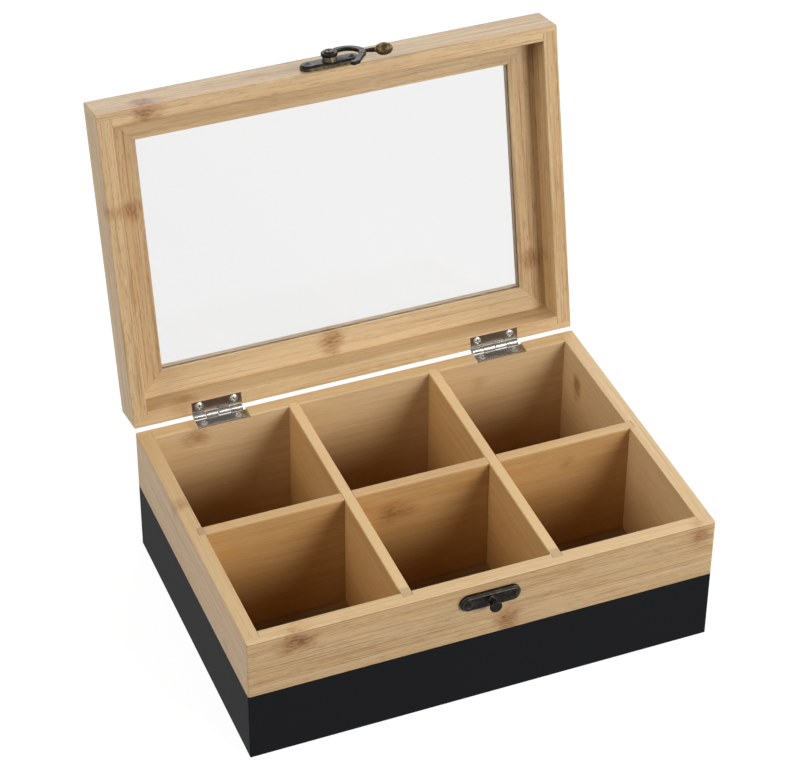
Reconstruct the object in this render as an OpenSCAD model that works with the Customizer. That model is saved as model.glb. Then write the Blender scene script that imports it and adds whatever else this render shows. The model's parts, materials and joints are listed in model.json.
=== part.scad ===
// Tea bag organizer box: six compartments of bamboo, a hinged lid with a window, and a swing-hook latch.
// X runs from left to right, Y from front to back and Z up. The origin is the middle of the box's underside.
// Everything on the lid is drawn as it lies when the lid is closed, and is then swung open about the hinge pins.

/* [Box] */
// Width of the box
box_w = 240; // [220:1:280]
// Depth of the box, from front to back
box_d = 167.6; // [150:0.1:200]
// Height of the box without its lid
base_h = 72.4; // [60:0.1:100]
// Thickness of the boards, and of the lid's rails
wall_t = 7.6; // [7:0.1:10]
// Height of the black paint on the outer faces
paint_h = 39.4; // [10:0.1:55]
// Radius of the upright corners
corner_r = 0.9; // [0.5:0.1:2.6]
// Radius of the softened outer edges
edge_r = 0.5; // [0.3:0.1:1.2]
// Radius of the edges that face the compartments
inner_edge_r = 0.4; // [0.2:0.1:0.8]
// Radius of the edge that the box stands on
foot_r = 0.9; // [0.5:0.1:2]
// Thickness of the tongues that cover the side boards' ends
tongue_t = 3.2; // [2.8:0.1:4.5]

/* [Compartments] */
// Thickness of the dividers
divider_t = 5.3; // [4:0.1:7]
// Depth of the grooves for the dividers' ends
divider_groove = 3; // [1.5:0.1:4]
// Thickness of the bottom panel
panel_t = 3; // [2:0.1:5]
// Height of the bottom panel's underside
panel_z = 4; // [3:0.1:6]
// Depth of the grooves for the bottom panel
panel_groove = 3.3; // [2:0.1:4]

/* [Lid] */
// Height of the lid
lid_h = 21.4; // [19:0.1:30]
// How far the lid is open, in degrees
lid_open = 101.8; // [0:0.1:101.8]
// Gap under the closed lid
lid_gap = 0.2; // [0.1:0.05:0.5]
// Width of the four pieces of the window frame
frame_w = 14; // [10:0.1:20]
// Thickness of the window frame
frame_t = 6.6; // [5:0.1:9]
// Thickness of the window pane
pane_t = 2; // [1.5:0.1:3]
// How far the pane lies behind the frame's inner face
pane_inset = 1.2; // [0.8:0.1:1.8]
// How far the pane's edges run into the frame
pane_bite = 3.5; // [2:0.1:6]

/* [Hinges] */
// Distance of each hinge's middle from the middle of the box
hinge_x = 76.1; // [50:0.1:90]
// Length of a hinge
hinge_l = 26; // [22:0.1:32]
// Diameter of the knuckles
knuckle_d = 3.2; // [3:0.1:3.6]
// Thickness of the hinge leaves
leaf_t = 0.8; // [0.6:0.05:0.9]
// Reach of a leaf from the pin's axis
leaf_w = 7.7; // [7.4:0.1:8]
// Distance of the pin's axis behind the box
pin_back = 1.1; // [1.1:0.1:1.4]
// Diameter of the hinge pins
pin_d = 1.4; // [1.2:0.05:1.5]
// Distance of the hinge screws from the pin's axis
hinge_screw_y = 4.9; // [4.6:0.1:5.1]
// Distance between the two screws of a leaf
hinge_screw_gap = 18.3; // [15:0.1:19]
// Depth of the wood under the screws of the hinge
hinge_screw_l = 7; // [4:0.1:9]

/* [Latch] */
// Distance of the latch to the right of the middle
latch_x = 1.2; // [-3:0.1:3]
// Height of the hook plate's middle above the lid's lower edge
hook_up = 6.2; // [5.5:0.1:9]
// Depth of the catch plate's middle below the box's upper edge
catch_down = 9.5; // [7:0.1:11]
// Length of the two latch plates
plate_l = 31; // [28:0.1:34]
// Width of the two latch plates
plate_w = 9; // [8.6:0.1:10]
// Height of the two pressed latch plates
plate_h = 2.6; // [2.2:0.1:3]
// Thickness of the plates' sheet
sheet_t = 0.8; // [0.6:0.05:1]
// Distance between the two screws of a plate
plate_screw_gap = 23; // [20:0.1:24]
// Direction in which the hook points, in degrees from straight right
hook_turn = -35; // [-90:1:90]
// Width of the hook's arm
arm_w = 3.4; // [2.8:0.1:3.6]
// Thickness of the hook's arm
arm_t = 2; // [1.6:0.1:2]
// Radius of the hook's loop, at the middle of its arm
loop_r = 8; // [7.6:0.1:8.4]
// Radius of the catch stud's neck
neck_r = 1.7; // [1.4:0.1:1.8]
// Radius of the catch stud's head
stud_head_r = 3.1; // [2.6:0.1:3.2]

/* [Hidden] */
$fn = 48;

bamboo = "burlywood";
light_bamboo = "wheat";
black_paint = "dimgray";
nickel = "silver";
bronze = "darkolivegreen";
dark_bronze = "darkslategray";

past = 1;                                       // how far a cutter runs past what it cuts
inner_w = box_w - 2 * wall_t;
inner_d = box_d - 2 * wall_t;
floor_z = panel_z + panel_t;
divider_slack = 0.1;                            // free room at each end and in each cross joint
divider_x = (inner_w - 2 * divider_t) / 6 + divider_t / 2;
cross_joint_z = (floor_z + base_h) / 2;

lid_z = base_h + lid_gap;
frame_z = lid_z + lid_h - frame_t;

knuckle_r = knuckle_d / 2;
knuckle_l = hinge_l / 4;
knuckle_gap = 0.4;                              // side play between two knuckles
knuckle_relief = 0.6;                           // room round a knuckle in the other leaf
pin_r = pin_d / 2;
pin_play = 0.05;                                // running clearance of the pin
pin_y = box_d / 2 + pin_back;
pin_z = base_h + lid_gap / 2;
mortise_end = 0.2;                              // room at the ends of a mortise
mortise_long_end = 1.4;                         // the longer room at the right end of a box mortise
lid_mortise_y = leaf_w + 0.1;                   // reach of a lid mortise from the pin's axis

dome_r = 2.2;
dome_h = 0.6;
dome_ball_r = (dome_r * dome_r + dome_h * dome_h) / (2 * dome_h);
hinge_shank_r = 1;

sink_r = 2.1;                                   // countersunk latch screws
sink_rise = 0.3;
sink_shank_r = 1.2;
latch_screw_l = 6;

plate_bevel = 1;
cross_w = 0.5;                                  // cross recess in the screw heads
cross_l = 2.2;
cross_depth = 0.4;

arm_low = 4.8;                                  // heights above the wood the latch is fixed to
arm_high = arm_low + arm_t;
arm_edge_r = 0.6;
hub_r = 4.2;
boss_r1 = 4.1;                                  // the boss that lifts the hook off its plate
boss_r2 = 3.4;
boss_top = arm_low - 0.2;
rivet_r = 1.6;
rivet_play = 0.05;
rivet_head_r = 2.6;
rivet_head_low = arm_high + 0.1;
rivet_head_h = 0.7;
rivet_foot_r = 2.3;
rivet_foot_h = 0.6;
rivet_hollow_r = 0.8;
rivet_dish_r = 1.9;
rivet_dish = 0.25;

hook_z = lid_z + hook_up;
catch_z = base_h - catch_down;
reach = hook_z - catch_z;                       // from the rivet to the stud when latched
hook_play = 0.2;
hold_turn = 35;                                 // where the stud lies in the latched hook, from the hook's line
tip_r = reach + neck_r + hook_play + arm_w / 2; // the tip runs round the pivot, so that a pull can't turn the hook
run_x = reach * cos(hold_turn) + neck_r + hook_play + arm_w / 2;
run_l = sqrt(tip_r * tip_r - run_x * run_x);    // the straight run from the loop down to the tip
tip_from = atan2(run_l, run_x);
tip_to = hold_turn + 2;
run_root = 0.8;                                 // how far the run is let into the end of the loop
run_w = arm_w - 0.2;
run_t = arm_t - 0.2;
loop_x = run_x - loop_r;
loop_sweep = 165;
tail_turn = 35;                                 // where the tail leaves the loop
knob_at = [25.5, 8.3];
knob_l = 8.8;
knob_r = 3.2;
tail_r1 = 0.7;
tail_r2 = 1.6;
tail_z = (arm_low + arm_high) / 2;

stud_tail_r = 1.4;
stud_foot_r = 2.2;
stud_foot_h = 0.5;
flare = 1.6;
stud_head_low = arm_high + hook_play;
stud_head_h = 1.6;
stud_edge = 0.6;

// A rectangle from the origin, with its own radius at each corner, counter-clockwise from the lower left.
module soft_rect(w, h, radii) {
    corners = [[0, 0], [w, 0], [w, h], [0, h]];
    inward = [[1, 1], [-1, 1], [-1, -1], [1, -1]];
    difference() {
        square([w, h]);
        for (i = [0:3]) if (radii[i] > 0) difference() {
            translate(corners[i] + inward[i] * (radii[i] - past) / 2) square(radii[i] + past, center = true);
            translate(corners[i] + inward[i] * radii[i]) circle(r = radii[i]);
        }
    }
}

// Half of a bar's section, for revolving: a rectangle from the axis with its two outer corners rounded.
module half_bar(w, h, r) {
    translate([0, -h / 2]) soft_rect(w / 2, h, [0, r, r, 0]);
}

module full_bar(w, h, r) {
    translate([-w / 2, -h / 2]) soft_rect(w, h, [r, r, r, r]);
}

// A board along X with its outer face on y = 0 and its foot on z = 0.
// plan, section and face are the corner radii seen from above, from the left end and from the front.
module board(l, h, plan, section, face) {
    intersection() {
        translate([-l / 2, 0, 0]) linear_extrude(h) soft_rect(l, wall_t, plan);
        translate([-l / 2, 0, 0]) rotate([90, 0, 90]) linear_extrude(l) soft_rect(wall_t, h, section);
        translate([-l / 2, wall_t, 0]) rotate([90, 0, 0]) linear_extrude(wall_t) soft_rect(l, h, face);
    }
}

// The rebates that leave a tongue over each side board's end.
module end_rebates(h) {
    for (side = [-1, 1])
        translate([side * (inner_w / 2 + (wall_t + past) / 2), tongue_t + (wall_t - tongue_t + past) / 2, h / 2])
            cube([wall_t + past, wall_t - tongue_t + past, h + 2 * past], center = true);
}

module long_board_blank() {
    board(box_w, base_h, [corner_r, corner_r, 0, 0], [foot_r, 0, inner_edge_r, edge_r],
          [foot_r, foot_r, edge_r, edge_r]);
}

module side_board_blank() {
    board(box_d - 2 * tongue_t, base_h, [0, 0, 0, 0], [foot_r, 0, inner_edge_r, edge_r], [0, 0, 0, 0]);
}

// Grooves in a board's inner face, for the bottom panel and for the dividers at the places given.
module inside_grooves(l, dividers) {
    translate([-l / 2, wall_t - panel_groove, panel_z]) cube([l, panel_groove + past, panel_t]);
    for (x = dividers)
        translate([x - divider_t / 2, wall_t - divider_groove, floor_z])
            cube([divider_t, divider_groove + past, base_h]);
}

// Bamboo above the paint line and black paint below it, as one board.
module painted() {
    color(bamboo) intersection() {
        children();
        translate([-box_w, -box_w, paint_h]) cube([2 * box_w, 2 * box_w, base_h]);
    }
    color(black_paint) intersection() {
        children();
        translate([-box_w, -box_w, -past]) cube([2 * box_w, 2 * box_w, paint_h + past]);
    }
}

module front_board() {
    painted() difference() {
        translate([0, -box_d / 2, 0]) difference() {
            long_board_blank();
            end_rebates(base_h);
            inside_grooves(inner_w + 2 * panel_groove, [-divider_x, divider_x]);
        }
        on_latch(catch_z) plate_screw_holes();
    }
}

module rear_board() {
    painted() difference() {
        translate([0, box_d / 2, 0]) mirror([0, 1, 0]) difference() {
            long_board_blank();
            end_rebates(base_h);
            inside_grooves(inner_w + 2 * panel_groove, [-divider_x, divider_x]);
        }
        for (side = [-1, 1]) at_hinge(side) {
            translate([-hinge_l / 2 - mortise_end, -wall_t - pin_back - past, -knuckle_r])
                cube([hinge_l + mortise_end + mortise_long_end, wall_t + 2 * past + pin_back, knuckle_d]);
            leaf_screws() translate([0, 0, -knuckle_r - hinge_screw_l])
                cylinder(h = hinge_screw_l + past, r = hinge_shank_r);
        }
    }
}

module left_board() {
    painted() translate([-box_w / 2, 0, 0]) rotate([0, 0, -90]) difference() {
        side_board_blank();
        inside_grooves(inner_d + 2 * panel_groove, [0]);
    }
}

module right_board() {
    painted() translate([box_w / 2, 0, 0]) rotate([0, 0, 90]) difference() {
        side_board_blank();
        inside_grooves(inner_d + 2 * panel_groove, [0]);
    }
}

module bottom_panel() {
    slack = 0.2;
    w = inner_w + 2 * (panel_groove - slack);
    d = inner_d + 2 * (panel_groove - slack);
    color(bamboo) translate([-w / 2, -d / 2, panel_z]) cube([w, d, panel_t]);
}

// A divider along X, standing on the floor.
module divider(inner_length) {
    l = inner_length + 2 * (divider_groove - divider_slack);
    translate([-l / 2, -divider_t / 2, floor_z]) rotate([90, 0, 90])
        linear_extrude(l) soft_rect(divider_t, base_h - floor_z, [0, 0, inner_edge_r, inner_edge_r]);
}

module long_divider() {
    slot_w = divider_t + divider_slack;
    color(light_bamboo) difference() {
        divider(inner_w);
        for (side = [-1, 1])
            translate([side * divider_x - slot_w / 2, -divider_t, cross_joint_z])
                cube([slot_w, 2 * divider_t, base_h]);
    }
}

module cross_divider(side) {
    slot_w = divider_t + divider_slack;
    color(light_bamboo) translate([side * divider_x, 0, 0]) rotate([0, 0, 90]) difference() {
        divider(inner_d);
        translate([-slot_w / 2, -divider_t, floor_z - past]) cube([slot_w, 2 * divider_t, cross_joint_z - floor_z + past]);
    }
}

// Puts a hinge, drawn round the origin with its pin along X, in its place on the closed box.
module at_hinge(side) {
    translate([side * hinge_x, pin_y, pin_z]) children();
}

module leaf_screws() {
    for (side = [-1, 1]) translate([side * hinge_screw_gap / 2, -hinge_screw_y, 0]) children();
}

// Middle of a knuckle along the pin, counted from the left.
function knuckle_x(i) = (i - 1.5) * knuckle_l;

// The leaf on the box: a plate under the pin, with two knuckles rolled up round it.
module hinge_leaf(own, others, bore_r) {
    difference() {
        union() {
            translate([-hinge_l / 2, -leaf_w, -knuckle_r]) cube([hinge_l, leaf_w, leaf_t]);
            for (i = own) translate([knuckle_x(i), 0, 0]) rotate([0, 90, 0])
                cylinder(h = knuckle_l - knuckle_gap, r = knuckle_r, center = true);
        }
        for (i = others) translate([knuckle_x(i), 0, 0])
            cube([knuckle_l + knuckle_gap, 2 * (knuckle_r + knuckle_relief), 2 * knuckle_d], center = true);
        rotate([0, 90, 0]) cylinder(h = hinge_l + 2 * past, r = bore_r, center = true);
        leaf_screws() translate([0, 0, -knuckle_r - past]) cylinder(h = leaf_t + 2 * past, r = hinge_shank_r);
    }
}

module hinge_base_leaf(side) {
    color(nickel) at_hinge(side) hinge_leaf([1, 3], [0, 2], pin_r);
}

module hinge_lid_leaf(side) {
    color(nickel) opened() at_hinge(side) mirror([0, 0, 1]) hinge_leaf([0, 2], [1, 3], pin_r + pin_play);
}

module hinge_pin(side) {
    color(nickel) at_hinge(side) rotate([0, 90, 0]) cylinder(h = hinge_l, r = pin_r, center = true);
}

module cross_recess(top) {
    for (turn = [0, 90]) translate([0, 0, top]) rotate([0, 0, turn])
        cube([cross_l, cross_w, 2 * cross_depth], center = true);
}

// A domed screw that sits on the plane z = 0 and points down.
module dome_screw() {
    difference() {
        intersection() {
            translate([0, 0, dome_h - dome_ball_r]) sphere(r = dome_ball_r);
            cylinder(h = dome_ball_r, r = dome_r);
        }
        cross_recess(dome_h);
    }
    translate([0, 0, -leaf_t - hinge_screw_l]) cylinder(h = leaf_t + hinge_screw_l, r = hinge_shank_r);
}

module hinge_screws() {
    for (side = [-1, 1]) at_hinge(side) leaf_screws() translate([0, 0, leaf_t - knuckle_r]) dome_screw();
}

module base_hinge_screws() {
    color(nickel) hinge_screws();
}

// The lid leaves mirror the box leaves in the plane through the pins.
module lid_hinge_screws() {
    color(nickel) opened() translate([0, 0, 2 * pin_z]) mirror([0, 0, 1]) hinge_screws();
}

// Swings what is drawn on the closed lid open about the pins.
module opened() {
    translate([0, pin_y, pin_z]) rotate([-lid_open, 0, 0]) translate([0, -pin_y, -pin_z]) children();
}

module long_rail() {
    translate([0, -box_d / 2, lid_z]) difference() {
        board(box_w, lid_h, [corner_r, corner_r, 0, 0], [edge_r, inner_edge_r, 0, edge_r],
              [edge_r, edge_r, edge_r, edge_r]);
        end_rebates(lid_h);
    }
}

module side_rail() {
    translate([-box_w / 2, 0, lid_z]) rotate([0, 0, -90])
        board(box_d - 2 * tongue_t, lid_h, [0, 0, 0, 0], [edge_r, inner_edge_r, 0, edge_r], [0, 0, 0, 0]);
}

module lid_front_rail() {
    color(bamboo) opened() difference() {
        long_rail();
        on_latch(hook_z) plate_screw_holes();
    }
}

module lid_rear_rail() {
    color(bamboo) opened() difference() {
        mirror([0, 1, 0]) long_rail();
        for (side = [-1, 1]) at_hinge(side) {
            translate([-hinge_l / 2 - mortise_end, -lid_mortise_y, -knuckle_r])
                cube([hinge_l + 2 * mortise_end, lid_mortise_y + past, knuckle_d]);
            leaf_screws() cylinder(h = knuckle_r + hinge_screw_l, r = hinge_shank_r);
        }
    }
}

module lid_left_rail() {
    color(bamboo) opened() side_rail();
}

module lid_right_rail() {
    color(bamboo) opened() mirror([1, 0, 0]) side_rail();
}

// The pane and, with no slack, the grooves that it sits in.
module pane(slack) {
    w = inner_w - 2 * frame_w + 2 * (pane_bite - slack);
    d = inner_d - 2 * frame_w + 2 * (pane_bite - slack);
    translate([-w / 2, -d / 2, frame_z + pane_inset]) cube([w, d, pane_t]);
}

// One mitred piece of the window frame: l is the frame's outer length on that side, y its outer edge.
module frame_piece(l, y) {
    difference() {
        translate([0, 0, frame_z]) linear_extrude(frame_t)
            polygon([[-l / 2, -y], [l / 2, -y], [l / 2 - frame_w, frame_w - y], [frame_w - l / 2, frame_w - y]]);
        children();
    }
}

module window_frame_front() {
    color(light_bamboo) opened() frame_piece(inner_w, inner_d / 2) pane(0);
}

module window_frame_rear() {
    color(light_bamboo) opened() mirror([0, 1, 0]) frame_piece(inner_w, inner_d / 2) pane(0);
}

module window_frame_left() {
    color(light_bamboo) opened() rotate([0, 0, -90]) frame_piece(inner_d, inner_w / 2) rotate([0, 0, 90]) pane(0);
}

module window_frame_right() {
    color(light_bamboo) opened() rotate([0, 0, 90]) frame_piece(inner_d, inner_w / 2) rotate([0, 0, 90]) pane(0);
}

module window_pane() {
    color("lightcyan", 0.4) opened() pane(0.3);
}

// Puts a latch part, drawn with Z pointing out of the wood, on the front at the height given.
module on_latch(z) {
    translate([latch_x, -box_d / 2, z]) rotate([90, 0, 0]) children();
}

module plate_screws_at() {
    for (side = [-1, 1]) translate([side * plate_screw_gap / 2, 0, 0]) children();
}

module plate_screw_holes() {
    plate_screws_at() translate([0, 0, -latch_screw_l]) cylinder(h = latch_screw_l + past, r = sink_shank_r);
}

// A plate with round ends and bevelled edges: revolved ends joined by a straight middle.
module plate_form(l, w, h, bevel) {
    half = [[0, 0], [w / 2, 0], [w / 2, h - bevel], [w / 2 - bevel, h], [0, h]];
    straight = l - w;
    for (side = [-1, 1]) translate([side * straight / 2, 0, 0]) rotate_extrude() polygon(half);
    translate([-straight / 2, 0, 0]) rotate([90, 0, 90]) linear_extrude(straight) {
        polygon(half);
        mirror([1, 0]) polygon(half);
    }
}

// A latch plate pressed from sheet, hollow underneath, with two countersunk holes and one for the rivet or stud.
module latch_plate(middle_r) {
    difference() {
        plate_form(plate_l, plate_w, plate_h, plate_bevel);
        plate_form(plate_l - 2 * sheet_t, plate_w - 2 * sheet_t, plate_h - sheet_t, plate_bevel - sheet_t / 2);
        plate_screws_at() translate([0, 0, plate_h]) sink_cone();
        plate_screws_at() cylinder(h = plate_h, r = sink_shank_r);
        cylinder(h = plate_h + past, r = middle_r);
    }
}

// The countersink of the plate's screws, with its wide end on z = 0.
module sink_cone() {
    translate([0, 0, -sheet_t]) cylinder(h = sheet_t, r1 = sink_shank_r, r2 = sink_r);
}

module sink_screw() {
    ball_r = (sink_r * sink_r + sink_rise * sink_rise) / (2 * sink_rise);
    difference() {
        union() {
            sink_cone();
            intersection() {
                translate([0, 0, sink_rise - ball_r]) sphere(r = ball_r);
                cylinder(h = ball_r, r = sink_r);
            }
        }
        cross_recess(sink_rise);
    }
    translate([0, 0, -plate_h - latch_screw_l]) cylinder(h = plate_h - sheet_t + latch_screw_l, r = sink_shank_r);
}

module catch_plate() {
    color(dark_bronze) on_latch(catch_z) latch_plate(stud_tail_r);
}

module catch_plate_screws() {
    color(dark_bronze) on_latch(catch_z) plate_screws_at() translate([0, 0, plate_h]) sink_screw();
}

// A turned stud riveted through the plate: flared foot, neck for the hook, and head that keeps it on.
module catch_stud() {
    inner_z = plate_h - sheet_t;
    color(bronze) on_latch(catch_z) rotate_extrude() {
        translate([0, inner_z - stud_foot_h]) square([stud_foot_r, stud_foot_h]);
        translate([0, inner_z]) square([stud_tail_r, sheet_t]);
        translate([0, plate_h]) square([neck_r, stud_head_low - plate_h]);
        difference() {
            translate([0, plate_h]) square([neck_r + flare, flare]);
            translate([neck_r + flare, plate_h + flare]) circle(r = flare);
        }
        translate([0, stud_head_low]) soft_rect(stud_head_r, stud_head_h, [0, stud_edge, stud_edge, 0]);
    }
}

module hook_plate() {
    inner_z = plate_h - sheet_t;
    color(dark_bronze) opened() on_latch(hook_z) {
        latch_plate(rivet_r);
        translate([0, 0, inner_z]) difference() {
            cylinder(h = boss_top - inner_z, r1 = boss_r1, r2 = boss_r2);
            translate([0, 0, -past]) cylinder(h = boss_top, r = rivet_r);
        }
    }
}

module hook_plate_screws() {
    color(dark_bronze) opened() on_latch(hook_z) plate_screws_at() translate([0, 0, plate_h]) sink_screw();
}

// The hollow rivet: foot under the plate, plain barrel for the hub, dished head on top.
module hook_rivet() {
    inner_z = plate_h - sheet_t;
    head_top = rivet_head_low + rivet_head_h;
    color(bronze) opened() on_latch(hook_z) rotate_extrude() difference() {
        union() {
            translate([0, inner_z - rivet_foot_h]) square([rivet_foot_r, rivet_foot_h]);
            translate([0, inner_z]) square([rivet_r, rivet_head_low - inner_z]);
            translate([0, rivet_head_low])
                soft_rect(rivet_head_r, rivet_head_h, [0, rivet_dish, rivet_head_h / 2, 0]);
        }
        translate([0, inner_z]) square([rivet_hollow_r, head_top]);
        translate([0, head_top - rivet_dish]) square([rivet_dish_r, rivet_head_h]);
    }
}

// The hook lies along X from its pivot, with its loop on the left side and its tip on the right.
module hook_form() {
    difference() {
        union() {
            // hub
            translate([0, 0, tail_z]) rotate_extrude() half_bar(2 * hub_r, arm_t, arm_edge_r);
            // loop, from the far side back round to the hub
            translate([loop_x, 0, tail_z]) rotate_extrude(angle = loop_sweep)
                translate([loop_r, 0]) full_bar(arm_w, arm_t, arm_edge_r);
            // straight run down from the loop
            translate([run_x, run_root, tail_z]) rotate([90, 0, 0])
                linear_extrude(run_l + run_root) full_bar(run_w, run_t, arm_edge_r);
            // tip, which slides round under the stud's head and holds its neck
            translate([0, 0, tail_z]) rotate([0, 0, -tip_to]) rotate_extrude(angle = tip_to - tip_from)
                translate([tip_r, 0]) full_bar(run_w, run_t, arm_edge_r);
            for (turn = [tip_from, tip_to]) rotate([0, 0, -turn]) translate([tip_r, 0, tail_z])
                rotate_extrude() half_bar(arm_w, arm_t, arm_edge_r);
            hook_tail();
        }
        cylinder(h = arm_high + past, r = rivet_r + rivet_play);
    }
}

// The tail tapers from the loop to an egg-shaped knob.
module hook_tail() {
    from = [loop_x + loop_r * cos(tail_turn), loop_r * sin(tail_turn)];
    way = knob_at - from;
    turn = atan2(way[1], way[0]);
    translate([from[0], from[1], tail_z]) rotate([0, 90, turn])
        cylinder(h = norm(way), r1 = tail_r1, r2 = tail_r2);
    translate([knob_at[0], knob_at[1], tail_z]) rotate([0, 90, turn])
        rotate_extrude() polygon([for (a = [-90:10:90]) [knob_r * cos(a), knob_l / 2 * sin(a)]]);
}

module swing_hook() {
    color(bronze) opened() on_latch(hook_z) rotate([0, 0, hook_turn]) hook_form();
}

front_board();
rear_board();
left_board();
right_board();
bottom_panel();
long_divider();
cross_divider(-1);  // left_cross_divider
cross_divider(1);  // right_cross_divider
hinge_base_leaf(-1);  // left_hinge_base_leaf
hinge_base_leaf(1);  // right_hinge_base_leaf
hinge_pin(-1);  // left_hinge_pin
hinge_pin(1);  // right_hinge_pin
base_hinge_screws();
catch_plate();
catch_stud();
catch_plate_screws();
lid_front_rail();
lid_rear_rail();
lid_left_rail();
lid_right_rail();
window_frame_front();
window_frame_rear();
window_frame_left();
window_frame_right();
window_pane();
hinge_lid_leaf(-1);  // left_hinge_lid_leaf
hinge_lid_leaf(1);  // right_hinge_lid_leaf
lid_hinge_screws();
hook_plate();
hook_plate_screws();
hook_rivet();
swing_hook();
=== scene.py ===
import json
import math
from functools import partial
import bmesh
import bpy
from mathutils import Euler, Matrix, Vector


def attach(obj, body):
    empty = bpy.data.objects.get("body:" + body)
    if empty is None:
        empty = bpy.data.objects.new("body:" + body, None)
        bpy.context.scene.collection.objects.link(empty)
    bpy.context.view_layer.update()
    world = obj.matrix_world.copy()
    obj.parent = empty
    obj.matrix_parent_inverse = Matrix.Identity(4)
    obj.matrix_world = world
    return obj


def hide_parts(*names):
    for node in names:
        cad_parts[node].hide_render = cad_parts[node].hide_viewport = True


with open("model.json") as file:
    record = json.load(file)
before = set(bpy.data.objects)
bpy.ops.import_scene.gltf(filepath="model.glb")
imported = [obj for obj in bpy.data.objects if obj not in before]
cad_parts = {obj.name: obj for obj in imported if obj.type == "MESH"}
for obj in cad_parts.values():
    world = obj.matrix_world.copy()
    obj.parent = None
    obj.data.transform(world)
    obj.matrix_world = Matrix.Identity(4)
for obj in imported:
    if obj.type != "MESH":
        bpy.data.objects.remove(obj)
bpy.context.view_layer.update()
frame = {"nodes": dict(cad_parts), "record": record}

mm = 0.001
bodyOf = {node: body for body, nodes in frame["record"]["behaviour"]["bodies"].items()
          for node in nodes}
print("frame loaded:", len(bodyOf), "nodes")


# what all materials share

noiseSpan = (0.3, 0.7)       # nearly all values of a noise lie between these
smooth = {"interpolation_type": "SMOOTHSTEP"}


def linear(hexColour):
    channels = [int(hexColour[i:i + 2], 16) / 255 for i in (1, 3, 5)]
    return [c / 12.92 if c <= 0.04045 else ((c + 0.055) / 1.055) ** 2.4 for c in channels] + [1.0]


def addNode(tree, kind, values, give=0):
    node = tree.nodes.new(kind)
    for name, value in values.items():            # a node's own settings come first in each call
        if isinstance(value, bpy.types.NodeSocket):
            tree.links.new(value, node.inputs[name])
        elif isinstance(name, str) and hasattr(node, name):
            setattr(node, name, value)
        else:
            node.inputs[name].default_value = value
    return node.outputs[give] if node.outputs else node


def newMaterial(name):
    material = bpy.data.materials.new(name)
    material.use_nodes = True
    material.node_tree.nodes.clear()
    return material, partial(addNode, material.node_tree)


# size is in mm along and across, and a shift of the seed keeps one pattern clear of another

def grain(add, vector, seed, size, shift=0.0, detail=2.0, rough=0.6):
    along, across = 1 / (size[0] * mm), 1 / (size[1] * mm)
    stretched = add("ShaderNodeVectorMath", {"operation": "MULTIPLY", 0: vector,
                                             1: (along, across, across)})
    return add("ShaderNodeTexNoise", {
        "noise_dimensions": "4D", "Vector": stretched, "W": seed + shift, "Scale": 1.0,
        "Detail": detail, "Roughness": rough})


# bamboo: flat-pressed strips under a satin lacquer, which gives straight fibres,
# a thin line of glue between strips and a brown node of the cane here and there

bambooLook = {
    "pale": "#D0B68F",                 # the ground, and the rest lies over it in this order
    "warm": "#B99463",
    "fibre": "#896136",
    "line": "#7B522B",
    "dash": "#714B2C",
    "fleck": "#DECCA7",
    "glue": "#896136",
    "amber": "#BA8640",                # painted shade: the warmer, darker colour that light takes as it bounces about inside the box
    "rim": "#DEBE8D",                  # painted light: the top edges drawn paler, as light from above falls on them
    "cutEnd": "#93846A",
    "knotTint": "#A06B3B",
    "knot": "#5C3E1E",
    # painted shade, laid over pieces that stand in shadow
    "stain": "#38240F",
    # mm
    "stripWidth": 20.0,
    "glueLine": 0.35,
    "bottomShadeBetween": (65.0, 15.0),     # heights where the painted shade starts to grow towards the bottom, and where it is full
    "rimFade": 0.4,
    "cutEndFade": 1.5,
    "bumpDepth": 0.06,
    # where in its noise a mark starts, where it is full, and how strong it then is
    "fibreMark": (0.48, 0.7, 0.55),
    "lineMark": (0.57, 0.68, 0.55),
    "dashMark": (0.56, 0.7, 0.4),
    "fleckMark": (0.42, 0.28, 0.4),
    "knotFleckMark": (0.42, 0.6, 1.0),
    # shares
    "streakSpan": (0.32, 0.68),
    "warmth": (0.05, 0.65),            # of the palest and of the darkest streak
    "stripTone": 0.25,
    "cutEndStrength": 0.5,
    "knotWander": 1.5,                 # how far a knot's outline strays
    "knotReach": 1.2,                  # where a knot has faded out, in its own half sizes
    "knotTintStrength": 0.85,
    "knotCore": 1.6,                   # a higher power leaves less of the dark core
    "bump": 0.3,
    "roughness": (0.42, 0.51),
    "ior": 1.5,
}
bambooPatterns = {           # real fibre bundles are 0.3 mm wide, drawn wider so that they show
    "fibres": {"size": (50.0, 1.0), "detail": 3.0},
    "thinLines": {"size": (95.0, 0.6), "shift": 8.9},
    "dashes": {"size": (5.5, 0.65), "shift": 2.3},
    "streaks": {"size": (120.0, 4.0), "shift": 5.1},
    "knotFlecks": {"size": (3.5, 1.0), "shift": 9.7, "detail": 3.0, "rough": 0.7},
    "knotOutline": {"size": (9.0, 4.0), "shift": 3.9, "detail": 3.0},
}
lid = {
    "open": math.radians(101.8),            # how far it stands open
    "pin": Vector((0, 84.9, 72.5)) * mm,    # a point on the line of the hinge pins
}


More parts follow.
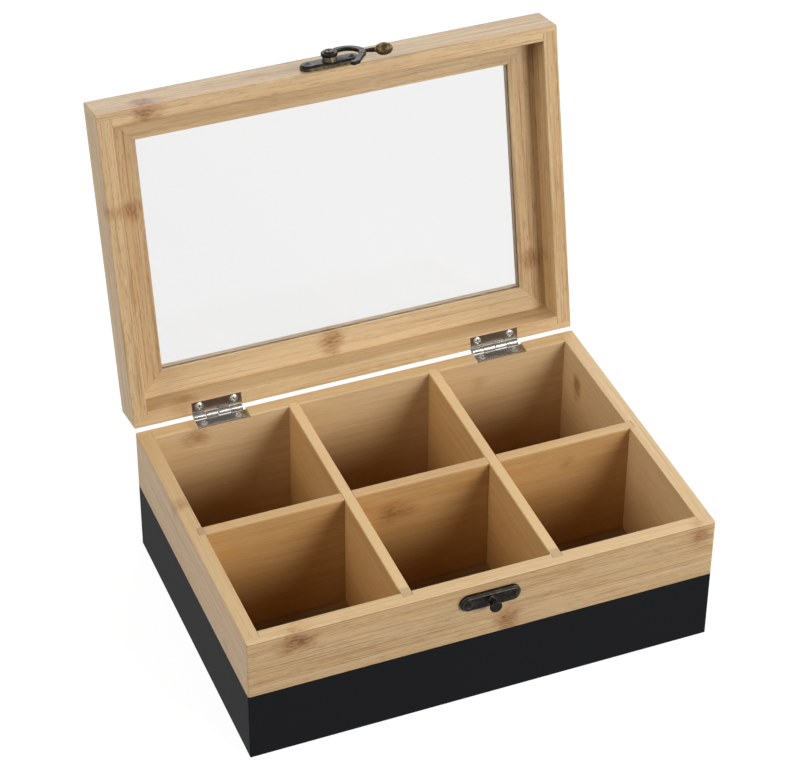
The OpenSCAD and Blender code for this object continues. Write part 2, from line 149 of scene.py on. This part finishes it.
def knotLayers(add, vector, along, across, seed, knots):
    look = bambooLook
    flecks = grain(add, vector, seed, **bambooPatterns["knotFlecks"])
    outline = grain(add, vector, seed, **bambooPatterns["knotOutline"])
    wander = add("ShaderNodeMath", {"operation": "MULTIPLY_ADD", 0: outline,
                                    1: look["knotWander"], 2: -look["knotWander"] / 2})
    total = 0.0
    for alongAt, acrossAt, halfLength, halfWidth, strength in knots:
        dx = add("ShaderNodeMath", {"operation": "MULTIPLY_ADD", 0: along,
                                    1: 1 / (halfLength * mm), 2: -alongAt / halfLength})
        dy = add("ShaderNodeMath", {"operation": "MULTIPLY_ADD", 0: across,
                                    1: 1 / (halfWidth * mm), 2: -acrossAt / halfWidth})
        away = add("ShaderNodeVectorMath", {
            "operation": "LENGTH", 0: add("ShaderNodeCombineXYZ", {0: dx, 1: dy})}, "Value")
        away = add("ShaderNodeMath", {"operation": "ADD", 0: away, 1: wander})
        spot = add("ShaderNodeMapRange", {**smooth, "Value": away, "From Max": look["knotReach"],
                                          "To Min": strength, "To Max": 0.0})
        total = add("ShaderNodeMath", {"operation": "MAXIMUM", 0: spot, 1: total})
    start, full, most = look["knotFleckMark"]
    dark = add("ShaderNodeMapRange", {**smooth, "Value": flecks, "From Min": start,
                                      "From Max": full, "To Max": most})
    tint = add("ShaderNodeMath", {"operation": "MULTIPLY", 0: total, 1: look["knotTintStrength"]})
    core = add("ShaderNodeMath", {"operation": "POWER", 0: total, 1: look["knotCore"]})
    return [(tint, "knotTint"),
            (add("ShaderNodeMath", {"operation": "MULTIPLY", 0: core, 1: dark}), "knot")]


def makeBamboo(name, seed, alongY=False, inLid=False, flatStrips=False, tone=0.0, lines=1.0,
               glueAt=12.0, glueStrength=0.12, paintedLightAbove=None, paintedLightStrength=0.45, amber=0.0,
               bottomShade=0.0, cutEndAt=None, shade=0.0, knots=()):
    look = bambooLook
    material, add = newMaterial(name)

    # metres along and across the fibres, with the lid laid back to how it shuts
    turn = math.radians(-90) if alongY else 0.0
    rotation = Euler((lid["open"] if inLid else 0.0, 0, turn), "XYZ")
    location = Matrix.Rotation(turn, 3, "Z") @ lid["pin"] - rotation.to_matrix() @ lid["pin"]
    vector = add("ShaderNodeMapping", {"Vector": add("ShaderNodeTexCoord", {}, "Object"),
                                       "Location": location, "Rotation": rotation})
    along = add("ShaderNodeSeparateXYZ", {0: vector}, "X")
    across = add("ShaderNodeSeparateXYZ", {0: vector}, "Y" if flatStrips else "Z")

    fibres, thinLines, dashes, streaks = [
        grain(add, vector, seed, **bambooPatterns[pattern])
        for pattern in ("fibres", "thinLines", "dashes", "streaks")]

    # strips, each with its own tone and a thin line of glue beside it
    width = look["stripWidth"] * mm
    strip = add("ShaderNodeMath", {"operation": "MULTIPLY_ADD", 0: across, 1: 1 / width,
                                   2: -glueAt * mm / width})
    number = add("ShaderNodeMath", {"operation": "FLOOR", 0: strip})
    ownTone = add("ShaderNodeTexWhiteNoise", {
        "noise_dimensions": "2D", "Vector": add("ShaderNodeCombineXYZ", {0: number, 1: seed})})
    fromGlue = add("ShaderNodeMath", {"operation": "PINGPONG", 0: strip, 1: 0.5})
    glueHalf = look["glueLine"] / look["stripWidth"]
    glue = add("ShaderNodeMapRange", {**smooth, "Value": fromGlue, "From Min": glueHalf / 3,
                                      "From Max": glueHalf, "To Min": glueStrength, "To Max": 0.0})

    warmth = add("ShaderNodeMapRange", {
        "Value": streaks, "From Min": look["streakSpan"][0], "From Max": look["streakSpan"][1],
        "To Min": tone + look["warmth"][0], "To Max": tone + look["warmth"][1]})
    warmth = add("ShaderNodeMath", {"operation": "MULTIPLY_ADD", 0: ownTone, 1: look["stripTone"],
                                    2: warmth})
    layers = [(warmth, "warm")]
    for mark, noise, share in (("fibre", fibres, lines), ("line", thinLines, lines),
                               ("dash", dashes, lines), ("fleck", dashes, 1.0)):
        start, full, strength = look[mark + "Mark"]
        layers.append((add("ShaderNodeMapRange", {
            **smooth, "Value": noise, "From Min": start, "From Max": full,
            "To Max": strength * share}), mark))
    layers.append((glue, "glue"))
    # painted shade: an amber darkening, stronger towards the bottom of the box
    if amber:
        start, full = look["bottomShadeBetween"]
        layers.append((add("ShaderNodeMapRange", {
            "Value": across, "From Min": full * mm, "From Max": start * mm,
            "To Min": amber + bottomShade, "To Max": amber}), "amber"))
    # painted light: above the given height the wood is drawn paler
    if paintedLightAbove is not None:
        layers.append((add("ShaderNodeMapRange", {
            **smooth, "Value": across, "From Min": (paintedLightAbove - look["rimFade"]) * mm,
            "From Max": paintedLightAbove * mm, "To Max": paintedLightStrength}), "rim"))
    if cutEndAt is not None:
        layers.append((add("ShaderNodeMapRange", {
            "Value": along, "From Min": cutEndAt * mm,
            "From Max": (cutEndAt + look["cutEndFade"]) * mm,
            "To Min": look["cutEndStrength"], "To Max": 0.0}), "cutEnd"))
    if knots:
        layers += knotLayers(add, vector, along, across, seed, knots)
    # painted shade: the whole piece darkened evenly
    if shade:
        layers.append((shade, "stain"))

    colour = linear(look["pale"])
    for factor, tint in layers:
        colour = add("ShaderNodeMix", {"data_type": "RGBA", "Factor": factor, 6: colour,
                                       7: linear(look[tint])}, 2)
    bump = add("ShaderNodeBump", {"Strength": look["bump"], "Distance": look["bumpDepth"] * mm,
                                  "Height": fibres})
    roughness = add("ShaderNodeMapRange", {
        "Value": fibres, "From Min": noiseSpan[0], "From Max": noiseSpan[1],
        "To Min": look["roughness"][0], "To Max": look["roughness"][1]})
    shader = add("ShaderNodeBsdfPrincipled", {"IOR": look["ior"], "Base Color": colour,
                                              "Roughness": roughness, "Normal": bump})
    add("ShaderNodeOutputMaterial", {"Surface": shader})
    return material


# one look for each wooden piece, and two for the inner faces of the boards, which carry painted
# light and shade. Places are in mm, and tone, lines, glueStrength, paintedLightStrength, amber,
# bottomShade and shade are strengths; amber, bottomShade and shade are painted shade. A knot is
# its place along and across the fibres, half its length, half its width, and how dark it is

bambooPieces = {
    "front_board": {
        "name": "bambooFrontBoard", "seed": 1.3, "glueAt": 51.5, "glueStrength": 0.5,
        "paintedLightAbove": 72,
        "knots": [(-95, 66, 12, 8, 1.0), (11, 46, 9, 10, 1.0), (112, 65, 7, 9, 0.8)]},
    "rear_board": {
        "name": "bambooRearBoard", "seed": 2.9, "glueAt": 51, "tone": 0.1, "lines": 0.8,
        "paintedLightAbove": 72, "knots": [(-91, 67, 9, 6, 0.9), (64, 58, 6, 7, 0.4)]},
    "left_board": {
        "name": "bambooLeftBoard", "seed": 4.7, "alongY": True, "glueAt": 50, "lines": 0.7,
        "amber": 0.08, "shade": 0.05, "paintedLightAbove": 72,
        "knots": [(23, 70, 6, 9, 0.45), (-52, 44, 6, 8, 0.3)]},
    "right_board": {
        "name": "bambooRightBoard", "seed": 6.1, "alongY": True, "glueAt": 49, "tone": 0.05,
        "paintedLightAbove": 72, "knots": [(59, 55, 6, 10, 0.7), (-36, 62, 6, 7, 0.3)]},
    # painted light and shade: the inner faces are a paler copy of the bamboo that grows darker and
    # more amber towards the bottom
    "insideAlongX": {
        "name": "bambooInsideAlongX", "seed": 3.3, "glueAt": 51, "tone": -0.4, "lines": 0.3,
        "amber": 0.05, "bottomShade": 0.6,
        "knots": [(-91, 67, 10, 6, 0.65), (64, 58, 6, 7, 0.3)]},
    "insideAlongY": {
        "name": "bambooInsideAlongY", "seed": 5.2, "alongY": True, "glueAt": 49, "tone": -0.5,
        "lines": 0.4, "amber": 0.18, "bottomShade": 0.4, "knots": [(59, 55, 6, 10, 0.8)]},
    "bottom_panel": {
        "name": "bambooBottomPanel", "seed": 8.3, "flatStrips": True, "tone": 0.15,
        "amber": 0.7, "shade": 0.6},
    "long_divider": {
        "name": "bambooLongDivider", "seed": 9.9, "glueAt": 50, "tone": 0.1, "lines": 0.7,
        "paintedLightAbove": 71.4, "amber": 0.45, "bottomShade": 0.3, "shade": 0.06, "cutEndAt": -112.5,
        "knots": [(-15, 56, 14, 8, 0.75), (78, 60, 6, 6, 0.4)]},
    "left_cross_divider": {
        "name": "bambooLeftDivider", "seed": 11.2, "alongY": True, "glueAt": 53, "lines": 0.5,
        "paintedLightAbove": 71.4, "paintedLightStrength": 0.8, "amber": 0.46, "bottomShade": 0.3, "cutEndAt": -74},
    "right_cross_divider": {
        "name": "bambooRightDivider", "seed": 12.6, "alongY": True, "glueAt": 47, "lines": 0.5,
        "paintedLightAbove": 71.4, "paintedLightStrength": 0.8, "amber": 0.46, "bottomShade": 0.3, "cutEndAt": -74},
    "lid_front_rail": {
        "name": "bambooLidFrontRail", "seed": 14.4, "inLid": True, "glueAt": 100, "tone": -0.15,
        "knots": [(-94, 77, 10, 9, 1.0), (-36, 84, 9, 4, 0.4)]},
    "lid_rear_rail": {
        "name": "bambooLidRearRail", "seed": 15.8, "inLid": True, "glueAt": 100, "lines": 0.6,
        "knots": [(-92, 77, 9, 7, 0.55)]},
    "lid_left_rail": {
        "name": "bambooLidLeftRail", "seed": 17.5, "alongY": True, "inLid": True, "glueAt": 100,
        "lines": 1.15, "knots": [(-33, 76, 5, 9, 0.6)]},
    "lid_right_rail": {
        "name": "bambooLidRightRail", "seed": 19.3, "alongY": True, "inLid": True, "glueAt": 100,
        "knots": [(45, 90, 5, 12, 0.5)]},
    "window_frame_front": {
        "name": "bambooFrameFront", "seed": 21.7, "inLid": True, "flatStrips": True,
        "glueAt": 90, "lines": 0.8},
    "window_frame_rear": {
        "name": "bambooFrameRear", "seed": 23.1, "inLid": True, "flatStrips": True,
        "glueAt": 90, "tone": -0.4, "lines": 0.6, "knots": [(-8, 68, 8, 9, 0.85)]},
    "window_frame_left": {
        "name": "bambooFrameLeft", "seed": 24.9, "alongY": True, "inLid": True,
        "flatStrips": True, "glueAt": 90, "lines": 1.15, "shade": 0.05,
        "knots": [(-26, 105, 7, 9, 0.7)]},
    "window_frame_right": {
        "name": "bambooFrameRight", "seed": 26.4, "alongY": True, "inLid": True,
        "flatStrips": True, "glueAt": 90, "tone": 0.1, "knots": [(48, -105, 8, 9, 0.7)]},
}
bamboos = {node: makeBamboo(**values) for node, values in bambooPieces.items()}


# satin black acrylic paint, sprayed on the bamboo: an even dark coat that the grain
# only just shows through

paintLook = {
    "colour": "#1B1C1E",
    "roughness": 0.56,
    "ior": 1.5,
    "specular": 0.03,
    "grainSize": (30.0, 1.2),          # mm
    "seed": 3.3,
    "bump": 0.12,
    "bumpDepth": 0.04,                 # mm
}


def makePaint():
    look = paintLook
    material, add = newMaterial("satinBlackPaint")
    ridges = grain(add, add("ShaderNodeTexCoord", {}, "Object"), look["seed"], look["grainSize"])
    bump = add("ShaderNodeBump", {"Strength": look["bump"], "Distance": look["bumpDepth"] * mm,
                                  "Height": ridges})
    shader = add("ShaderNodeBsdfPrincipled", {
        "Base Color": linear(look["colour"]), "Roughness": look["roughness"], "IOR": look["ior"],
        "Specular IOR Level": look["specular"], "Normal": bump})
    add("ShaderNodeOutputMaterial", {"Surface": shader})
    return material


# bright nickel plate on stamped steel: a mirror with faint rolling marks

nickelLook = {
    "leaf": "#938F8A",
    # painted highlight: the screws take a paler copy of the leaves' nickel, so that their small
    # heads show bright
    "screw": "#A9A6A1",
    "roughness": 0.24,
    "markSize": (9.0, 0.8),            # mm
    "seed": 7.7,
    "bump": 0.15,
    "bumpDepth": 0.03,                 # mm
}


def makeNickel(name, use):
    look = nickelLook
    material, add = newMaterial(name)
    marks = grain(add, add("ShaderNodeTexCoord", {}, "Object"), look["seed"], look["markSize"])
    bump = add("ShaderNodeBump", {"Strength": look["bump"], "Distance": look["bumpDepth"] * mm,
                                  "Height": marks})
    shader = add("ShaderNodeBsdfPrincipled", {
        "Base Color": linear(look[use]), "Metallic": 1.0, "Roughness": look["roughness"],
        "Normal": bump})
    add("ShaderNodeOutputMaterial", {"Surface": shader})
    return material


# antique bronze: cast zinc, plated and blackened, then rubbed back so that the high spots
# show brown and brass

bronzeLook = {
    "blackened": ("#1F1F1E", "#3A3329"),    # the ground and its patches
    # partly rubbed wear, partly painted highlight on eased edges and on the hook plate's rim
    "handledAndLit": ("#3D3832", "#6A5D49"),
    "worn": ("#43382A", "#967A48"),
    "roughness": (0.48, 0.34),              # of the ground and of the patches
    "patchSize": (2.2, 2.2),                # mm
    "patchDetail": 3.0,
    "patchSpan": (0.48, 0.7),               # where in its noise a patch starts and is full
    "seed": 5.5,
    "bump": 0.2,
    "bumpDepth": 0.08,                      # mm
}


def makeBronze(name, finish):
    look = bronzeLook
    material, add = newMaterial(name)
    ground, patch = [linear(colour) for colour in look[finish]]
    patches = grain(add, add("ShaderNodeTexCoord", {}, "Object"), look["seed"],
                    look["patchSize"], detail=look["patchDetail"])
    rubbed = add("ShaderNodeMapRange", {"Value": patches, "From Min": look["patchSpan"][0],
                                        "From Max": look["patchSpan"][1]})
    colour = add("ShaderNodeMix", {"data_type": "RGBA", "Factor": rubbed, 6: ground, 7: patch}, 2)
    roughness = add("ShaderNodeMapRange", {
        "Value": patches, "From Min": noiseSpan[0], "From Max": noiseSpan[1],
        "To Min": look["roughness"][0], "To Max": look["roughness"][1]})
    bump = add("ShaderNodeBump", {"Strength": look["bump"], "Distance": look["bumpDepth"] * mm,
                                  "Height": patches})
    shader = add("ShaderNodeBsdfPrincipled", {"Metallic": 1.0, "Base Color": colour,
                                              "Roughness": roughness, "Normal": bump})
    add("ShaderNodeOutputMaterial", {"Surface": shader})
    return material


# clear acrylic sheet, cast and polished: it shows little but what lies behind it

paneLook = {
    "colour": "#EBEBEB",
    "roughness": 0.01,
    "ior": 1.2,                        # real acrylic is 1.49, and less mirrors less
}


def makePane():
    material, add = newMaterial("clearAcrylic")
    shader = add("ShaderNodeBsdfPrincipled", {
        "Base Color": linear(paneLook["colour"]), "Roughness": paneLook["roughness"],
        "IOR": paneLook["ior"], "Transmission Weight": 1.0})
    add("ShaderNodeOutputMaterial", {"Surface": shader})
    return material


blackPaint = makePaint()
leafNickel = makeNickel("brightNickel", "leaf")
screwNickelPaintedHighlight = makeNickel("screwNickelPaintedHighlight", "screw")
blackenedBronze = makeBronze("blackenedBronze", "blackened")
handledAndLitBronze = makeBronze("handledAndLitBronze", "handledAndLit")
wornBronze = makeBronze("wornBronze", "worn")
acrylic = makePane()
print("materials made")


# pieces: a merged copy of each solid, with its edges eased and its own material

meshCare = {
    "mergeWithin": 0.002,    # mm
    "cutWithin": 0.001,      # mm
    "flatWithin": 0.4,       # degrees between triangles of one face
    "easeOver": 35,          # degrees at which an edge is eased
    "segments": 2,           # of an eased edge
    "creaseOver": 32,        # degrees at which the shading breaks
}


def pieceName(node):
    first, *rest = node.split("_")
    return first + "".join(word.capitalize() for word in rest)


def mergedCopy(node):
    form = bmesh.new()
    form.from_mesh(frame["nodes"][node].data)
    bmesh.ops.remove_doubles(form, verts=form.verts, dist=meshCare["mergeWithin"] * mm)
    bmesh.ops.dissolve_limit(form, angle_limit=math.radians(meshCare["flatWithin"]),
                             verts=form.verts, edges=form.edges)
    return form


def easeEdges(form, width):
    least = math.radians(meshCare["easeOver"])
    edges = [e for e in form.edges if e.is_manifold and e.calc_face_angle(0) > least]
    return bmesh.ops.bevel(form, geom=edges, offset=width * mm, offset_type="OFFSET",
                           segments=meshCare["segments"], profile=0.5, affect="EDGES",
                           material=-1, clamp_overlap=True)["faces"]


def finishPiece(form, node, materials):
    mesh = bpy.data.meshes.new(pieceName(node))
    form.normal_update()
    form.to_mesh(mesh)
    form.free()
    for material in materials:
        mesh.materials.append(material)
    mesh.polygons.foreach_set("use_smooth", [True] * len(mesh.polygons))
    mesh.set_sharp_from_angle(angle=math.radians(meshCare["creaseOver"]))
    piece = bpy.data.objects.new(pieceName(node), mesh)
    bpy.context.scene.collection.objects.link(piece)
    even = piece.modifiers.new("evenShading", "WEIGHTED_NORMAL")
    even.keep_sharp = True
    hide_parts(node)
    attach(piece, bodyOf[node])


# the four boards: bare outside above the paint line, painted below it, and inside a second bamboo
# look with painted light and shade

boards = {                   # mm
    "width": 240.0,          # of the whole box, as the solids have it
    "depth": 167.6,
    "wall": 7.6,
    "edge": 0.15,
    "paintLine": 39.4,       # top of the black paint
    "skin": 1.6,             # how deep a face may lie and still belong to the outside
    "innerSkin": 0.5,        # the same for the inside
}


def paintedBoard(node, insideOf):
    form = mergedCopy(node)
    easeEdges(form, boards["edge"])
    line = boards["paintLine"] * mm
    bmesh.ops.bisect_plane(form, geom=form.verts[:] + form.edges[:] + form.faces[:],
                           dist=meshCare["cutWithin"] * mm, plane_co=(0, 0, line),
                           plane_no=(0, 0, 1))
    halfWidth, halfDepth = boards["width"] / 2 * mm, boards["depth"] / 2 * mm
    skin = boards["skin"] * mm
    innerAt = (boards["wall"] - boards["innerSkin"]) * mm
    for face in form.faces:
        middle = face.calc_center_median()
        deep = min(halfWidth - abs(middle.x), halfDepth - abs(middle.y))
        if deep < skin or middle.z < skin:
            face.material_index = 1 if middle.z < line else 0
        else:
            face.material_index = 2 if deep > innerAt else 0
    finishPiece(form, node, [bamboos[node], blackPaint, bamboos[insideOf]])


for node, insideOf in (("front_board", "insideAlongX"), ("rear_board", "insideAlongX"),
                       ("left_board", "insideAlongY"), ("right_board", "insideAlongY")):
    paintedBoard(node, insideOf)


# the other wooden pieces, each in one look

woodEdges = {"panel": 0.15, "divider": 0.35, "rail": 0.15, "frame": 0.1}        # mm

for node, kind in (("bottom_panel", "panel"), ("long_divider", "divider"),
                   ("left_cross_divider", "divider"), ("right_cross_divider", "divider"),
                   ("lid_front_rail", "rail"), ("lid_rear_rail", "rail"),
                   ("lid_left_rail", "rail"), ("lid_right_rail", "rail"),
                   ("window_frame_front", "frame"), ("window_frame_rear", "frame"),
                   ("window_frame_left", "frame"), ("window_frame_right", "frame")):
    form = mergedCopy(node)
    easeEdges(form, woodEdges[kind])
    finishPiece(form, node, [bamboos[node]])
print("wooden pieces made")


# hinges and latch

metalwork = {
    "leafEdge": 0.12,        # mm
    "plateEdge": 0.2,        # mm
    "lyingOver": 0.5,        # a face's share of upwards; the rim of the hook plate has less
    "rubbedEnd": 9.0,        # mm of the hook that fingers have rubbed
}

for node in ("left_hinge_base_leaf", "right_hinge_base_leaf", "left_hinge_lid_leaf",
             "right_hinge_lid_leaf"):
    form = mergedCopy(node)
    easeEdges(form, metalwork["leafEdge"])
    finishPiece(form, node, [leafNickel])

for node, rimWornAndLit in (("catch_plate", False), ("hook_plate", True)):
    form = mergedCopy(node)
    eased = set(easeEdges(form, metalwork["plateEdge"]))
    form.normal_update()
    for face in form.faces:
        # the lid stands open, so its plate faces up. The eased edges of both plates and the
        # standing rim of the hook plate take the handled bronze: partly rubbed wear, partly a
        # painted highlight where light catches them
        rim = rimWornAndLit and abs(face.normal.z) < metalwork["lyingOver"]
        face.material_index = 1 if face in eased or rim else 0
    finishPiece(form, node, [blackenedBronze, handledAndLitBronze])

for node, finish in (("left_hinge_pin", leafNickel), ("right_hinge_pin", leafNickel),
                     ("base_hinge_screws", screwNickelPaintedHighlight), ("lid_hinge_screws", screwNickelPaintedHighlight),
                     ("catch_stud", blackenedBronze), ("catch_plate_screws", blackenedBronze),
                     ("hook_plate_screws", blackenedBronze), ("hook_rivet", handledAndLitBronze)):
    finishPiece(mergedCopy(node), node, [finish])

form = mergedCopy("swing_hook")
rubbedFrom = max(vert.co.x for vert in form.verts) - metalwork["rubbedEnd"] * mm
for face in form.faces:
    face.material_index = 1 if face.calc_center_median().x > rubbedFrom else 0
finishPiece(form, "swing_hook", [blackenedBronze, wornBronze])

pane = frame["nodes"]["window_pane"].data
pane.materials.clear()
pane.materials.append(acrylic)
print("metal pieces and pane made")


# floor, light and camera

stage = {
    "floorSize": 12.0,       # metres
    "floorDrop": 0.2,        # mm under the box
    "floorColour": 0.24,     # what the floor throws back at the box
    "seenFloor": 0.13,       # the floor as camera, metal and pane see it: shadow on a white glow
    "seenGlow": 0.93,
    "skyLight": 0.035,
    "lampAim": 80.0,         # mm above the floor
}
lamps = {                    # degrees round from the front, degrees up, metres, watts
    "key": {"around": 25, "up": 23, "away": 2.2, "size": 0.9, "watts": 33, "colour": "#FFFDFA"},
    "right": {"around": 80, "up": 20, "away": 2.2, "size": 0.8, "watts": 30, "colour": "#FFFCF7"},
    "left": {"around": -80, "up": 35, "away": 2.2, "size": 1.6, "watts": 28, "colour": "#FFFBF4"},
    "behind": {"around": 165, "up": 30, "away": 2.2, "size": 2.6, "watts": 24,
               "colour": "#FFFFFF"},
}


def seenDirectly(add):
    direct = 0.0
    for ray in ("Is Camera Ray", "Is Glossy Ray", "Is Transmission Ray"):
        direct = add("ShaderNodeMath", {"operation": "MAXIMUM", 1: direct,
                                        0: add("ShaderNodeLightPath", {}, ray)})
    return direct


def makeFloor():
    form = bmesh.new()
    bmesh.ops.create_grid(form, x_segments=1, y_segments=1, size=stage["floorSize"] / 2)
    mesh = bpy.data.meshes.new("paleFloor")
    form.to_mesh(mesh)
    form.free()
    floor = bpy.data.objects.new("paleFloor", mesh)
    floor.location.z = -stage["floorDrop"] * mm
    bpy.context.scene.collection.objects.link(floor)
    material, add = newMaterial("paleFloor")
    lit = add("ShaderNodeBsdfDiffuse", {"Color": [stage["floorColour"]] * 3 + [1]})
    seen = add("ShaderNodeBsdfDiffuse", {"Color": [stage["seenFloor"]] * 3 + [1]})
    glow = add("ShaderNodeEmission", {"Color": [1, 1, 1, 1], "Strength": stage["seenGlow"]})
    both = add("ShaderNodeAddShader", {0: seen, 1: glow})
    mixed = add("ShaderNodeMixShader", {0: seenDirectly(add), 1: lit, 2: both})
    add("ShaderNodeOutputMaterial", {"Surface": mixed})
    mesh.materials.append(material)


def makeSky():
    world = bpy.data.worlds.new("studio")
    world.use_nodes = True
    world.node_tree.nodes.clear()
    add = partial(addNode, world.node_tree)
    strength = add("ShaderNodeMapRange", {"Value": seenDirectly(add), "To Min": stage["skyLight"],
                                          "To Max": 1.0})
    sky = add("ShaderNodeBackground", {"Color": [1, 1, 1, 1], "Strength": strength})
    add("ShaderNodeOutputWorld", {"Surface": sky})
    bpy.context.scene.world = world


def makeLamp(name, around, up, away, size, watts, colour):
    light = bpy.data.lights.new(name, "AREA")
    light.shape = "DISK"
    light.size = size
    light.energy = watts
    light.color = linear(colour)[:3]
    lamp = bpy.data.objects.new(name, light)
    toward = Vector((0, -1, 0))
    toward.rotate(Euler((math.radians(-up), 0, math.radians(around)), "XYZ"))
    lamp.location = Vector((0, 0, stage["lampAim"])) * mm + toward * away
    lamp.rotation_euler = (-toward).to_track_quat("-Z", "Y").to_euler()
    bpy.context.scene.collection.objects.link(lamp)


makeFloor()
makeSky()
for name, values in lamps.items():
    makeLamp(name, **values)

camera = {
    "place": (-0.41401, -0.99191, 0.95490),            # metres
    "lookAt": (0.0171255, 0.0300592, 0.1006724),
    "roll": 0.9857,                                    # degrees
    "picture": (800, 768),                             # pixels
    "focal": 2827.1,
    "centre": (430.5, 388.5),
    "sensor": 36.0,                                    # mm
    "clip": (0.05, 50.0),                              # metres
}


def makeCamera():
    (wide, high), (centreX, centreY) = camera["picture"], camera["centre"]
    data = bpy.data.cameras.new("camera")
    data.sensor_width = camera["sensor"]
    data.sensor_fit = "HORIZONTAL"
    data.lens = camera["focal"] / wide * camera["sensor"]
    data.shift_x = (wide / 2 - centreX) / wide
    data.shift_y = (centreY - high / 2) / wide
    data.clip_start, data.clip_end = camera["clip"]
    eye = bpy.data.objects.new("camera", data)
    look = Vector(camera["lookAt"]) - Vector(camera["place"])
    roll = Matrix.Rotation(math.radians(camera["roll"]), 3, "Z")
    turn = look.to_track_quat("-Z", "Y").to_matrix() @ roll
    eye.matrix_world = Matrix.Translation(camera["place"]) @ turn.to_4x4()
    bpy.context.scene.collection.objects.link(eye)
    bpy.context.scene.camera = eye


makeCamera()
bpy.context.scene.view_settings.view_transform = "Standard"
print("stage, lamps and camera set")
